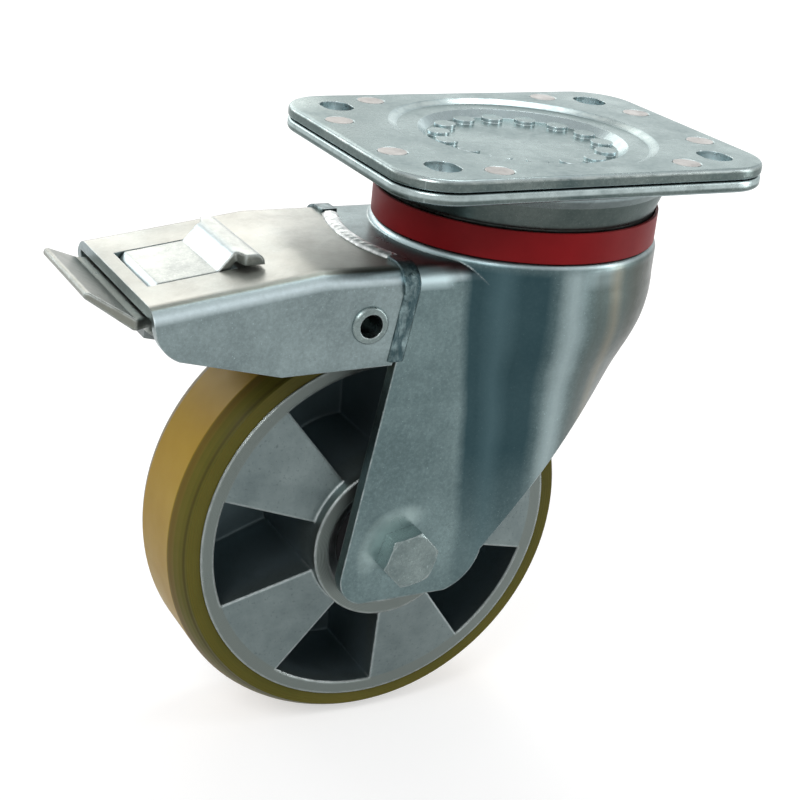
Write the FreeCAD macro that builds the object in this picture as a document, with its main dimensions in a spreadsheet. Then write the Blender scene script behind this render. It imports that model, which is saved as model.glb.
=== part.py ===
import FreeCAD, Part
import math
import os
import re

import Sketcher

# Swivel castor with a total brake: millimetres, Z up, origin at the middle of the plate's top face.
# The wheel trails towards -X, and the axle lies along Y.

SIZES = {
    "plate_length": 140, "plate_width": 110, "plate_sheet": 4, "plate_gap": 0.4,
    "plate_corner": 18.5, "plate_edge_round": 1.5, "plate_under_round": 1,
    "slot_inset_x": 17.5, "slot_inset_y": 16.25, "slot_width": 11, "slot_length": 13.5,
    "stud_radius": 4.75, "stud_inset": 9.5, "stud_long_y": 19.7, "stud_short_x": 36, "stud_rim": 0.4,
    "dish_inset": 4, "dish_slope": 3, "dish_depth": 1.5,
    "disc_inset": 14.2, "disc_slope": 3, "disc_depth": 4,
    "pip_inset": 21.7, "pip_radius": 3.8, "pip_rise": 1.4, "pip_count": 15, "pip_phase": 9,
    "pip_hollow": 3,
    "ball_radius": 3.175, "ball_clearance": 0.075, "ball_sink": 0.45,
    "upper_race_inset": 11.5, "lower_race_inset": 9.5, "upper_balls": 14, "lower_balls": 14,
    "cup_inset": 3.1, "cup_wall": 3.6, "cup_corner": 4, "cup_floor": 4, "cup_foot_inset": 2.3,
    "race_bore_inset": 12.5, "flange_inset": 6.7, "flange_sheet": 4,
    "neck_inset": 17.3, "neck_wall": 4,
    "crown_inset": 4.5, "crown_top": 31.5, "crown_round": 3, "crown_step_inset": 4.7,
    "crown_step_rise": 5.3, "shelf_drop": 2.5, "shelf_ahead": 11, "bend_round": 7.5,
    "fork_sheet": 4.5, "fork_half_width": 38.5, "skirt_bottom": 54,
    "seal_inset": 0.9, "seal_lip": 1.0, "seal_height": 10.3, "seal_clearance": 0.3,
    "trail": 52, "wheel_headroom": 60,
    "shelf_bulge": 5, "foot_ahead": 22.5, "leg_foot": 18, "leg_foot_round": 8,
    "foot_behind": 18, "rear_behind": 31, "leg_rear_rise": 3.5, "leg_slope": 1.24,
    "wheel_radius": 75, "wheel_half_width": 20, "tyre_thickness": 8.8, "tread_half": 12,
    "shoulder_drop": 4, "shoulder_bend": 20, "bond_gap": 0.05,
    "hub_radius": 28.7, "hub_half_length": 29.7, "rim_sheet": 4.6, "disc_hub_half": 25,
    "spoke_count": 5, "spoke_angle": 34.5, "spoke_phase": 145.5, "spoke_web": 4, "spoke_wall": 4,
    "bearing_radius": 23.5, "bearing_width": 14, "bearing_recess": 2, "bearing_ring": 3.6,
    "bearing_fit": 0.02, "bearing_shoulder": 19,
    "sleeve_radius": 10, "sleeve_bore": 6.1, "bolt_radius": 6, "bolt_head": 7.5, "bolt_flats": 18,
    "bolt_tail": 16, "nut_height": 12, "nut_flats": 18, "washer_sheet": 2.5, "washer_radius": 12,
    "axle_hole": 6.15, "spacer_radius": 13,
    "cover_sheet": 3.5, "cover_front": 144, "cover_level": 88, "cover_fall": 7.8,
    "cover_lip": 3.65, "weld_gap": 1.4, "weld_width": 2.2, "weld_rise": 1.2, "weld_end": 2,
    "cover_front_round": 12, "cover_front_drop": 16.5, "cover_low_x": 102, "cover_low": 66,
    "cover_nose_x": 136,
    "cover_rear_low": 65.3,
    "window_front": 139, "window_rear": 109.5, "window_half": 16.5, "window_play": 0.9,
    "pivot_x": 126, "pivot_z": 50, "lever_pin": 3, "pin_play": 0.08, "slip_fit": 0.02,
    "lever_sheet": 3.5, "pedal_end_x": 162, "pedal_end_z": 38.2, "pedal_root_x": 147,
    "pedal_root_z": 46.2, "pedal_half": 20, "pedal_root_half": 30, "pedal_round": 1.2,
    "tongue_front": 135.5, "tongue_rear": 116, "bar_top": 31.5, "bar_front": 111.5, "bar_rear": 102,
    "bar_half": 20, "bar_front_round": 5, "bar_rear_round": 3,
    "ear_play": 3.5, "ear_sheet": 3.5, "bracket_sheet": 3.5, "bracket_gap": 0.2,
    "tube_x": 72.6, "tube_z": 51, "tube_radius": 5, "tube_wall": 1, "tube_flange": 6.4,
    "tube_flange_height": 1.3,
    "arm_half": 16, "arm_sheet": 4, "knuckle_radius": 9, "pad_gap": 2.1, "pad_sheet": 4,
    "pad_half": 15, "pad_start_angle": 110, "pad_end_angle": 127, "finger_half": 9,
    "lock_inset": 19.1, "lock_top": 12.5, "lock_sheet": 3, "lock_circle_inset": 31, "pocket_count": 20,
    "pocket_radius": 2.1, "pocket_depth": 1.4, "lock_teeth": 5, "tooth_radius": 1.6,
    "tooth_height": 2.9, "stem_long": 14, "stem_short": 6, "stem_foot": 52,
    "collar_radius": 11, "collar_sheet": 2, "guide_inset": 9.5, "guide_width": 11, "guide_sheet": 3.5, "guide_play": 0.2,
    "spring_wire": 0.9, "spring_radius": 9, "spring_play": 0.05, "spring_end": 2,
}

# Sizes that follow from the ones above. The swivel head grows and shrinks with the plate's width,
# and the fork's shelf and legs stay with the wheel's axle.
FOLLOWING = {
    "slot_spacing_x": "plate_length - 2 * slot_inset_x",
    "slot_spacing_y": "plate_width - 2 * slot_inset_y",
    "stud_long_x": "plate_length / 2 - stud_inset",
    "stud_short_y": "plate_width / 2 - stud_inset",
    "crown_radius": "plate_width / 2 - crown_inset",
    "dish_radius": "crown_radius - dish_inset",
    "disc_radius": "crown_radius - disc_inset",
    "pip_circle": "crown_radius - pip_inset",
    "upper_race": "crown_radius - upper_race_inset",
    "lower_race": "crown_radius - lower_race_inset",
    "cup_bore": "crown_radius - cup_inset",
    "cup_foot": "crown_radius - cup_foot_inset",
    "race_bore": "crown_radius - race_bore_inset",
    "flange_radius": "crown_radius - flange_inset",
    "neck_bore": "crown_radius - neck_inset",
    "crown_step_radius": "crown_radius - crown_step_inset",
    "seal_radius": "crown_radius - seal_inset",
    "lock_radius": "crown_radius - lock_inset",
    "lock_circle": "crown_radius - lock_circle_inset",
    "shelf_radius": "trail + shelf_ahead",
    "leg_foot_left": "trail + foot_ahead",
    "leg_foot_right": "trail - foot_behind",
    "leg_rear_x": "trail - rear_behind",
    "leg_left": "shelf_radius - shelf_bulge",
    "axle_drop": "wheel_headroom + wheel_radius",
    "ear_inner": "fork_half_width - cover_sheet - bracket_sheet - ear_sheet - ear_play",
    "guide_half": "crown_radius - guide_inset",
}

SHEET = "Sizes"
doc = FreeCAD.newDocument("swivel_castor")
sheet = doc.addObject("Spreadsheet::Sheet", SHEET)
answers = doc.addObject("Spreadsheet::Sheet", "Answers")
PIECES = []
KNOWN = {}


def fill_sheet():
    row = 1
    for alias, size in SIZES.items():
        sheet.set(f"A{row}", alias)
        sheet.set(f"B{row}", str(size))
        sheet.setAlias(f"B{row}", alias)
        row += 1
    for alias, formula in FOLLOWING.items():
        sheet.set(f"A{row}", alias)
        sheet.set(f"B{row}", f"={formula}")
        sheet.setAlias(f"B{row}", alias)
        row += 1
    doc.recompute()


def cells(text):
    """Every size's name in an expression becomes a reference to its cell."""
    def cell(word):
        known = word.group() in SIZES or word.group() in FOLLOWING
        return f"{SHEET}.{word.group()}" if known else word.group()
    return re.sub(r"[a-z][a-z_]*", cell, str(text))


def value(text):
    """The number that an expression comes to, read back from a cell of its own."""
    if text not in KNOWN:
        answers.set("A1", f"={cells(text)}")
        answers.recompute()
        result = answers.get("A1")
        KNOWN[text] = float(getattr(result, "Value", result))
    return KNOWN[text]


def bind(item, name, text):
    item.setExpression(name, cells(text))


def new_body(name, x=None, y=None, z=None):
    body = doc.addObject("PartDesign::Body", name)
    body.Label = name
    for axis, text in (("x", x), ("y", y), ("z", z)):
        if text is not None:
            bind(body, f"Placement.Base.{axis}", text)
    PIECES.append(body)
    return body


def origin_part(body, role):
    return next(item for item in body.Origin.OriginFeatures if item.Role == role)


def new_sketch(body, plane="XY", offset=None):
    sketch = body.newObject("Sketcher::SketchObject", "Sketch")
    sketch.AttachmentSupport = [(origin_part(body, f"{plane}_Plane"), "")]
    sketch.MapMode = "FlatFace"
    if offset is not None:
        bind(sketch, "AttachmentOffset.Base.z", offset)
    return sketch


def hold(sketch, geometry, point, texts):
    for kind, text in zip(("DistanceX", "DistanceY"), texts):
        row = sketch.addConstraint(Sketcher.Constraint(kind, geometry, point, value(text)))
        bind(sketch, f"Constraints[{row}]", text)


def arc_between(start, end, radius, turn):
    """The short arc from start to end; turn is 1 where it bends left and -1 where it bends right."""
    chord = end - start
    middle = start + chord * 0.5
    reach = math.sqrt(max(radius ** 2 - (chord.Length / 2) ** 2, 0))
    left = FreeCAD.Vector(-chord.y, chord.x, 0).normalize()
    top = middle + left * turn * (reach - radius)
    return Part.Arc(start, top, end)


def draw(sketch, outline):
    """A closed outline. Each corner is (u, v), or (u, v, radius, turn) where an arc leaves it."""
    corners = [FreeCAD.Vector(value(c[0]), value(c[1]), 0) for c in outline]
    first = sketch.GeometryCount
    count = len(outline)
    for index, corner in enumerate(outline):
        start, end = corners[index], corners[(index + 1) % count]
        if len(corner) == 2:
            sketch.addGeometry(Part.LineSegment(start, end))
        else:
            sketch.addGeometry(arc_between(start, end, value(corner[2]), corner[3]))
    ends = []
    for index, corner in enumerate(outline):
        flipped = len(corner) == 4 and corner[3] < 0
        ends.append((2, 1) if flipped else (1, 2))
    for index in range(count):
        following = (index + 1) % count
        sketch.addConstraint(Sketcher.Constraint(
            "Coincident", first + index, ends[index][1], first + following, ends[following][0]))
        hold(sketch, first + index, ends[index][0], outline[index][:2])
    for index, corner in enumerate(outline):
        if len(corner) == 4:
            row = sketch.addConstraint(Sketcher.Constraint("Radius", first + index, value(corner[2])))
            bind(sketch, f"Constraints[{row}]", corner[2])
    return sketch


def circle(sketch, u, v, radius):
    centre = FreeCAD.Vector(value(u), value(v), 0)
    index = sketch.addGeometry(Part.Circle(centre, FreeCAD.Vector(0, 0, 1), value(radius)))
    hold(sketch, index, 3, (u, v))
    row = sketch.addConstraint(Sketcher.Constraint("Radius", index, value(radius)))
    bind(sketch, f"Constraints[{row}]", radius)
    return sketch


def volume(body):
    return body.Shape.Volume if body.Shape and not body.Shape.isNull() else 0.0


def settle(body, feature, adds):
    """Computes the feature and makes sure that it changed the body the right way."""
    before = body.getPropertyByName("LastVolume") if "LastVolume" in body.PropertiesList else 0.0
    body.Tip = feature
    doc.recompute()
    after = volume(body)
    if adds and after <= before or not adds and after >= before:
        raise ValueError(f"{body.Label}: {feature.Name} left the volume at {after:.1f}")
    if "LastVolume" not in body.PropertiesList:
        body.addProperty("App::PropertyFloat", "LastVolume")
    body.LastVolume = after
    return feature


def extrude(body, sketch, length, adds=True, symmetric=False, flip=False):
    kind = "PartDesign::Pad" if adds else "PartDesign::Pocket"
    feature = body.newObject(kind, "Pad" if adds else "Pocket")
    feature.Profile = sketch
    feature.SideType = "Symmetric" if symmetric else "One side"
    feature.Reversed = flip
    bind(feature, "Length", length)
    return settle(body, feature, adds)


def turn(body, sketch, adds=True, angle=360, axis="V_Axis", symmetric=False):
    kind = "PartDesign::Revolution" if adds else "PartDesign::Groove"
    feature = body.newObject(kind, "Revolution" if adds else "Groove")
    feature.Profile = sketch
    feature.ReferenceAxis = (sketch, [axis])
    feature.Midplane = symmetric
    bind(feature, "Angle", angle)
    return settle(body, feature, adds)


def pattern(body, feature, count, axis, adds):
    ring = body.newObject("PartDesign::PolarPattern", "PolarPattern")
    ring.Originals = [feature]
    ring.Axis = (origin_part(body, f"{axis}_Axis"), [""])
    ring.Angle = 360
    bind(ring, "Occurrences", count)
    return settle(body, ring, adds)


def loft(body, sketches, adds=True, ruled=False):
    kind = "PartDesign::AdditiveLoft" if adds else "PartDesign::SubtractiveLoft"
    feature = body.newObject(kind, "Loft")
    feature.Profile = sketches[0]
    feature.Sections = sketches[1:]
    feature.Ruled = ruled
    return settle(body, feature, adds)


def dress(body, kind, size, chosen):
    """A fillet or chamfer on the chosen edges of the last feature."""
    base = body.Tip
    names = [f"Edge{i}" for i, edge in enumerate(base.Shape.Edges, start=1) if chosen(edge)]
    feature = body.newObject(f"PartDesign::{kind}", kind)
    feature.Base = (base, names)
    bind(feature, "Radius" if kind == "Fillet" else "Size", size)
    body.Tip = feature
    doc.recompute()
    if not names or "Invalid" in feature.State or volume(body) <= 0:
        raise ValueError(f"{body.Label}: {kind} failed on {len(names)} edges")
    body.LastVolume = volume(body)
    return feature


def box_corners(half_u, half_v):
    left, low = f"-({half_u})", f"-({half_v})"
    return [(left, low), (half_u, low), (half_u, half_v), (left, half_v)]


def rounded_box(half_u, half_v, radius):
    u, v, r = f"({half_u})", f"({half_v})", f"({radius})"
    return [(f"-{u} + {r}", f"-{v}"), (f"{u} - {r}", f"-{v}", radius, 1), (u, f"-{v} + {r}"),
            (u, f"{v} - {r}", radius, 1), (f"{u} - {r}", v), (f"-{u} + {r}", v, radius, 1),
            (f"-{u}", f"{v} - {r}"), (f"-{u}", f"-{v} + {r}", radius, 1)]


def slot(u, v, half_width, half_length):
    """A slot along v: its round ends are two quarter arcs each."""
    straight = f"(({half_length}) - ({half_width}))"
    return [(f"{u} + {half_width}", f"{v} - {straight}"),
            (f"{u} + {half_width}", f"{v} + {straight}", half_width, 1),
            (u, f"{v} + {half_length}", half_width, 1),
            (f"{u} - {half_width}", f"{v} + {straight}"),
            (f"{u} - {half_width}", f"{v} - {straight}", half_width, 1),
            (u, f"{v} - {half_length}", half_width, 1)]


def ring_section(inner, outer, low, high):
    return [(inner, low), (outer, low), (outer, high), (inner, high)]


# Heights, as drops below the plate's top face
LOWER_TOP = "(plate_sheet + plate_gap)"
LOWER_BOTTOM = "(2 * plate_sheet + plate_gap)"
DISH_UNDER = "(plate_sheet + dish_depth)"
DISC_UNDER = "(plate_sheet + disc_depth)"
UPPER_BALL_Z = "(plate_sheet + dish_depth + ball_radius - ball_sink)"
FLANGE_TOP = "(plate_sheet + dish_depth + 2 * ball_radius - 2 * ball_sink)"
FLANGE_BOTTOM = "(plate_sheet + dish_depth + 2 * ball_radius - 2 * ball_sink + flange_sheet)"
LOWER_BALL_Z = "(plate_sheet + dish_depth + 3 * ball_radius - 3 * ball_sink + flange_sheet)"
CUP_FLOOR = "(plate_sheet + dish_depth + 4 * ball_radius - 4 * ball_sink + flange_sheet)"
CUP_BOTTOM = "(plate_sheet + dish_depth + 4 * ball_radius - 4 * ball_sink + flange_sheet + cup_floor)"
BALL_GROOVE = "(ball_radius + ball_clearance)"
SHELF_TOP = "(crown_top + shelf_drop)"
SHELF_UNDER = "(crown_top + shelf_drop + fork_sheet)"
CROWN_UNDER = "(crown_top + fork_sheet)"
NECK_RADIUS = "(neck_bore + neck_wall)"
LEG_INNER = "(fork_half_width - fork_sheet)"
FOOT_Z = "(axle_drop + leg_foot)"


def plate_outline(body, offset):
    return draw(new_sketch(body, "XY", offset),
                rounded_box("plate_length / 2", "plate_width / 2", "plate_corner"))


def slots(body):
    sketch = new_sketch(body)
    for side_x in (-1, 1):
        for side_y in (-1, 1):
            draw(sketch, slot(f"{side_x} * slot_spacing_x / 2", f"{side_y} * slot_spacing_y / 2",
                              "slot_width / 2", "slot_length / 2"))
    return sketch


def stud_places():
    """The eight pressed studs that hold the two plates together."""
    for side_x in (-1, 1):
        for side_y in (-1, 1):
            yield f"{side_x} * stud_long_x", f"{side_y} * stud_long_y"
            yield f"{side_x} * stud_short_x", f"{side_y} * stud_short_y"


def stud_holes(body):
    sketch = new_sketch(body)
    for x, y in stud_places():
        circle(sketch, x, y, "stud_radius")
    return sketch


def outer_edges_at(z_text):
    """Edges of a plate's outline at one height, all round it."""
    height = value(z_text)

    def chosen(edge):
        box = edge.BoundBox
        far = max(abs(box.XMax), abs(box.XMin)) > value("plate_length / 2") - 0.1 \
            or max(abs(box.YMax), abs(box.YMin)) > value("plate_width / 2") - 0.1
        return far and abs(box.ZMax - height) < 1e-3 and abs(box.ZMin - height) < 1e-3
    return chosen


def stud_rims(edge):
    """The top edges of the holes that the studs fill."""
    round_edge = isinstance(edge.Curve, Part.Circle) and edge.BoundBox.ZMin > -1e-3
    return round_edge and abs(edge.Curve.Radius - value("stud_radius")) < 1e-3


def make_top_plate():
    body = new_body("top_plate")
    extrude(body, plate_outline(body, "0"), "plate_sheet", flip=True)
    dress(body, "Fillet", "plate_edge_round", outer_edges_at("0"))
    dress(body, "Fillet", "plate_under_round", outer_edges_at("-plate_sheet"))
    turn(body, draw(new_sketch(body, "XZ"), [
        ("0", f"-{DISC_UNDER}"),
        ("disc_radius - disc_slope / 2", f"-{DISC_UNDER}"),
        ("disc_radius + disc_slope / 2", f"-{DISH_UNDER}"),
        ("dish_radius - dish_slope / 2", f"-{DISH_UNDER}"),
        ("dish_radius + dish_slope / 3", "-plate_sheet"),
        ("dish_radius + dish_slope / 3", "-plate_sheet / 2"),
        ("0", "-plate_sheet / 2")]))
    turn(body, draw(new_sketch(body, "XZ"), [
        ("0", "-disc_depth"), ("disc_radius - disc_slope", "-disc_depth"),
        ("disc_radius", "-dish_depth"), ("dish_radius - dish_slope", "-dish_depth"),
        ("dish_radius", "0"), ("dish_radius", "1"), ("0", "1")]), adds=False)
    turn(body, circle(new_sketch(body, "XZ"), "upper_race", f"-{UPPER_BALL_Z}", BALL_GROOVE), adds=False)
    place = ("pip_circle * cos(pip_phase)", "pip_circle * sin(pip_phase)")
    pip = extrude(body, circle(new_sketch(body, "XY", "-disc_depth - plate_sheet / 2"), *place, "pip_radius"),
                  "plate_sheet / 2 + pip_rise")
    pattern(body, pip, "pip_count", "Z", True)
    hollow = extrude(body, circle(new_sketch(body, "XY", f"-{DISC_UNDER} + pip_rise"), *place, "pip_hollow"),
                     "pip_rise + pip_radius", adds=False)
    pattern(body, hollow, "pip_count", "Z", False)
    pocket = extrude(body, circle(new_sketch(body, "XY", f"-{DISC_UNDER} + pocket_depth"),
                                  "lock_circle", "0", "pocket_radius"), "pocket_depth + pip_radius", adds=False)
    pattern(body, pocket, "pocket_count", "Z", False)
    extrude(body, slots(body), "2 * plate_sheet", adds=False, symmetric=False)
    extrude(body, stud_holes(body), "2 * plate_sheet", adds=False)
    dress(body, "Chamfer", "stud_rim", stud_rims)


def make_lower_plate():
    body = new_body("lower_plate")
    extrude(body, plate_outline(body, f"-{LOWER_TOP}"), "plate_sheet", flip=True)
    dress(body, "Fillet", "plate_edge_round", outer_edges_at(f"-{LOWER_BOTTOM}"))
    dress(body, "Fillet", "plate_under_round", outer_edges_at(f"-{LOWER_TOP}"))
    turn(body, draw(new_sketch(body, "XZ"), [
        ("cup_foot - cup_corner", f"-{CUP_BOTTOM}", "cup_corner", 1),
        ("cup_foot", f"-{CUP_BOTTOM} + cup_corner"),
        ("cup_bore + cup_wall", f"-{LOWER_BOTTOM} - 4"),
        ("cup_bore + cup_wall + 3", f"-{LOWER_BOTTOM}"),
        ("cup_bore + cup_wall + 3", f"-{LOWER_TOP} - 1"),
        ("race_bore", f"-{LOWER_TOP} - 1"), ("race_bore", f"-{CUP_BOTTOM}")]))
    turn(body, draw(new_sketch(body, "XZ"), [
        ("0", f"-{CUP_FLOOR}"), ("cup_foot - cup_wall - 1", f"-{CUP_FLOOR}"),
        ("cup_foot - cup_wall", f"-{CUP_FLOOR} + 1"), ("cup_bore", f"-{LOWER_TOP}"), ("cup_bore", "0"),
        ("0", "0")]), adds=False)
    turn(body, circle(new_sketch(body, "XZ"), "lower_race", f"-{LOWER_BALL_Z}", BALL_GROOVE), adds=False)
    extrude(body, slots(body), "4 * plate_sheet", adds=False)
    extrude(body, stud_holes(body), "4 * plate_sheet", adds=False)


def make_plate_studs():
    """One solid for each stud, so each is a primitive and the node is their compound."""
    group = []
    for index, (x, y) in enumerate(stud_places(), start=1):
        stud = doc.addObject("Part::Cylinder", f"plate_stud_{index}")
        bind(stud, "Radius", "stud_radius - slip_fit")
        bind(stud, "Height", LOWER_BOTTOM)
        bind(stud, "Placement.Base.x", x)
        bind(stud, "Placement.Base.y", y)
        bind(stud, "Placement.Base.z", f"-{LOWER_BOTTOM}")
        group.append(stud)
    gather("plate_studs", group)


def gather(name, items):
    node = doc.addObject("Part::Compound", name)
    node.Label = name
    node.Links = items
    PIECES.append(node)
    doc.recompute()
    return node


def make_ball_set(name, count, race, height):
    """A ring of balls. Each is turned from a many-sided half section, which keeps its facets few."""
    master = doc.addObject("PartDesign::Body", f"{name}_ball")
    arc = [("ball_radius * cos(%g)" % a, "ball_radius * sin(%g)" % a) for a in (-90, -54, -18, 18, 54, 90)]
    arc[0] = ("0", "-ball_radius")
    arc[-1] = ("0", "ball_radius")
    sketch = draw(new_sketch(master, "XZ"), arc)
    ball = master.newObject("PartDesign::Revolution", "Ball")
    ball.Profile = sketch
    ball.ReferenceAxis = (sketch, ["V_Axis"])
    master.Tip = ball
    doc.recompute()
    ring = []
    for index in range(int(value(count))):
        link = doc.addObject("App::Link", f"{name}_{index + 1}")
        link.LinkedObject = master
        angle = f"{index} * 360 / {count}"
        bind(link, "Placement.Base.x", f"{race} * cos({angle})")
        bind(link, "Placement.Base.y", f"{race} * sin({angle})")
        bind(link, "Placement.Base.z", f"-{height}")
        ring.append(link)
    gather(name, ring)


def fork_section(body, drop, half_width, radius, centre, blend, inset="0"):
    """Plan of the fork at one height: two straight legs that swell into a round front."""
    h, r, b = f"({half_width} - {inset})", f"({radius} - {inset})", f"({blend} + {inset})"
    blend_x = f"({centre} - sqrt(({r} + {b}) ^ 2 - ({h} + {b}) ^ 2))"
    touch_x = f"({centre} + {r} * ({blend_x} - {centre}) / ({r} + {b}))"
    touch_y = f"({r} * ({h} + {b}) / ({r} + {b}))"
    left = "-(cover_front)"
    front = f"({centre} + {r})"
    return draw(new_sketch(body, "XY", f"-({drop})"), [
        (left, f"-{h}"), (blend_x, f"-{h}", b, -1), (touch_x, f"-{touch_y}", r, 1), (front, "0", r, 1),
        (touch_x, touch_y, b, -1), (blend_x, h), (left, h)])


def front_radius(share):
    """Radius of the round front, which fades from the crown's radius into the legs' flat sides."""
    return f"(fork_half_width + {share} * (crown_radius - fork_half_width))"


# Drop below the plate's top, radius of the round front, its centre in X, and the blend into the leg
SHOULDER = f"({SHELF_TOP} + bend_round + 1)"
FORK_LEVELS = [
    (SHOULDER, front_radius(1), "0", "12"),
    ("skirt_bottom - 3", front_radius(0.995), "0", "12.5"),
    ("skirt_bottom + 6", front_radius(0.89), "-0.7", "17"),
    ("skirt_bottom + 21", front_radius(0.53), "-3.3", "32"),
    ("skirt_bottom + 42", front_radius(0.27), "-8", "60"),
    ("skirt_bottom + 68", front_radius(0.1), "-14", "120"),
    ("axle_drop + leg_foot + 4", front_radius(0.042), "-16", "200"),
]


def side_outline():
    """The fork's outline from the side, with the rear edges of the legs on one slant."""
    bottom = f"-{FOOT_Z}"
    rear_z = f"(-axle_drop - leg_rear_rise)"
    top_x = "(crown_radius + 2)"
    return [
        ("-(leg_left)", f"-{SHELF_TOP} - bend_round"),
        ("-(leg_foot_left)", f"{bottom} + leg_foot_round + 3", "leg_foot_round + 2", 1),
        ("-(leg_foot_left) + leg_foot_round", bottom),
        ("-(leg_foot_right)", bottom, "leg_foot_round + 10", 1),
        ("-(leg_rear_x)", rear_z),
        (top_x, f"{rear_z} + leg_slope * ({top_x} + leg_rear_x)"),
        (top_x, "0"), ("-(cover_front) + 40", "0"), ("-(cover_front) + 40", f"-{SHELF_UNDER}"),
        ("-(leg_left)", f"-{SHELF_UNDER}")]


def make_fork():
    body = new_body("fork")
    loft(body, [fork_section(body, drop, "fork_half_width", r, c, b) for drop, r, c, b in FORK_LEVELS])
    extrude(body, fork_section(body, SHOULDER, "fork_half_width", front_radius(1), "0", "12"),
            f"{SHOULDER} - {SHELF_TOP}")
    shelf_z = value(f"-{SHELF_TOP}")
    dress(body, "Fillet", "bend_round", lambda edge: abs(edge.BoundBox.ZMin - shelf_z) < 1e-3
          and abs(edge.BoundBox.ZMax - shelf_z) < 1e-3 and edge.BoundBox.XMax > value("-cover_front + 1"))
    turn(body, draw(new_sketch(body, "XZ"), [
        ("0", f"-{SHELF_TOP} - bend_round - 1"), ("crown_radius", f"-{SHELF_TOP} - bend_round - 1"),
        ("crown_radius", "-crown_top - crown_round", "crown_round", 1),
        ("crown_radius - crown_round", "-crown_top"), ("crown_step_radius", "-crown_top"),
        ("crown_step_radius", "-crown_top + crown_step_rise"),
        (NECK_RADIUS, "-crown_top + crown_step_rise"), (NECK_RADIUS, f"-{FLANGE_BOTTOM}"),
        ("flange_radius", f"-{FLANGE_BOTTOM}"), ("flange_radius", f"-{FLANGE_TOP}"),
        ("0", f"-{FLANGE_TOP}")]))
    loft(body, [fork_section(body, drop, "fork_half_width", r, c, b, "fork_sheet")
                for drop, r, c, b in FORK_LEVELS], adds=False)
    extrude(body, fork_section(body, SHOULDER, "fork_half_width", front_radius(1), "0", "12", "fork_sheet"),
            f"{SHOULDER} - {SHELF_UNDER}", adds=False, flip=True)
    turn(body, draw(new_sketch(body, "XZ"), [
        ("0", f"-{SHELF_UNDER} - 1"), ("crown_radius - fork_sheet", f"-{SHELF_UNDER} - 1"),
        ("crown_radius - fork_sheet", f"-{CROWN_UNDER}"),
        ("crown_step_radius - fork_sheet", f"-{CROWN_UNDER}"),
        ("crown_step_radius - fork_sheet", f"-{CROWN_UNDER} + crown_step_rise"),
        ("0", f"-{CROWN_UNDER} + crown_step_rise")]), adds=False)
    extrude(body, circle(new_sketch(body, "XY"), "0", "0", "neck_bore"), "crown_top + 20", adds=False)
    for race, height in (("upper_race", UPPER_BALL_Z), ("lower_race", LOWER_BALL_Z)):
        turn(body, circle(new_sketch(body, "XZ"), race, f"-{height}", BALL_GROOVE), adds=False)
    margin = new_sketch(body, "XZ")
    draw(margin, [("-(cover_front) - 40", f"-{FOOT_Z} - 30"), ("crown_radius + 30", f"-{FOOT_Z} - 30"),
                  ("crown_radius + 30", "20"), ("-(cover_front) - 40", "20")])
    draw(margin, side_outline())
    extrude(body, margin, "4 * fork_half_width", adds=False, symmetric=True)
    shelf_end = "sqrt(shelf_radius ^ 2 - leg_left ^ 2)"
    extrude(body, draw(new_sketch(body, "XY"), [
        ("-(leg_left)", f"-{shelf_end}", "shelf_radius", -1), ("-(shelf_radius)", "0", "shelf_radius", -1),
        ("-(leg_left)", shelf_end), ("-(leg_left)", "2 * fork_half_width"),
        ("-(cover_front)", "2 * fork_half_width"), ("-(cover_front)", "-2 * fork_half_width"),
        ("-(leg_left)", "-2 * fork_half_width")]), f"{SHELF_UNDER} + 1", adds=False)
    extrude(body, circle(new_sketch(body, "XZ"), "-(trail)", "-(axle_drop)", "axle_hole"),
            "4 * fork_half_width", adds=False, symmetric=True)


def make_seal_ring():
    body = new_body("seal_ring")
    foot = "-crown_top"
    top = "(-crown_top + seal_height)"
    lip = "seal_radius - seal_lip"
    step = "(-crown_top + crown_step_rise + 0.5)"
    turn(body, draw(new_sketch(body, "XZ"), [
        ("crown_step_radius + seal_clearance", foot), ("seal_radius", foot), ("seal_radius", top),
        (lip, top), (lip, f"{step} + 1.5"), ("crown_step_radius + seal_clearance", step)]))


def cover_side():
    """The brake cover from the side: level over the fork, then falling to the front."""
    top = f"-{SHELF_TOP}"
    front_top = f"({top} - (cover_front - cover_level) * tan(cover_fall))"
    low_front = f"({front_top} - cover_front_drop)"
    return [
        ("-(leg_left) + 10", top), ("-(cover_level)", top), ("-(cover_front)", front_top),
        ("-(cover_front)", f"{low_front} + cover_front_round", "cover_front_round + 1", 1),
        ("-(cover_nose_x)", f"{low_front} + 0.5"), ("-(cover_low_x)", "-(cover_low)"),
        ("-(leg_left) + 10", "-(cover_rear_low)")]


def bend_edges(half_width, lowest):
    """The long edges where the cover's top bends down into its sides."""
    side, low = value(half_width), value(f"-({lowest})")

    def chosen(edge):
        box = edge.BoundBox
        beside = abs(abs(box.YMax) - side) < 1e-3 and box.YLength < 1e-3
        return beside and box.ZMin > low and box.XLength > side / 2
    return chosen


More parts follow.
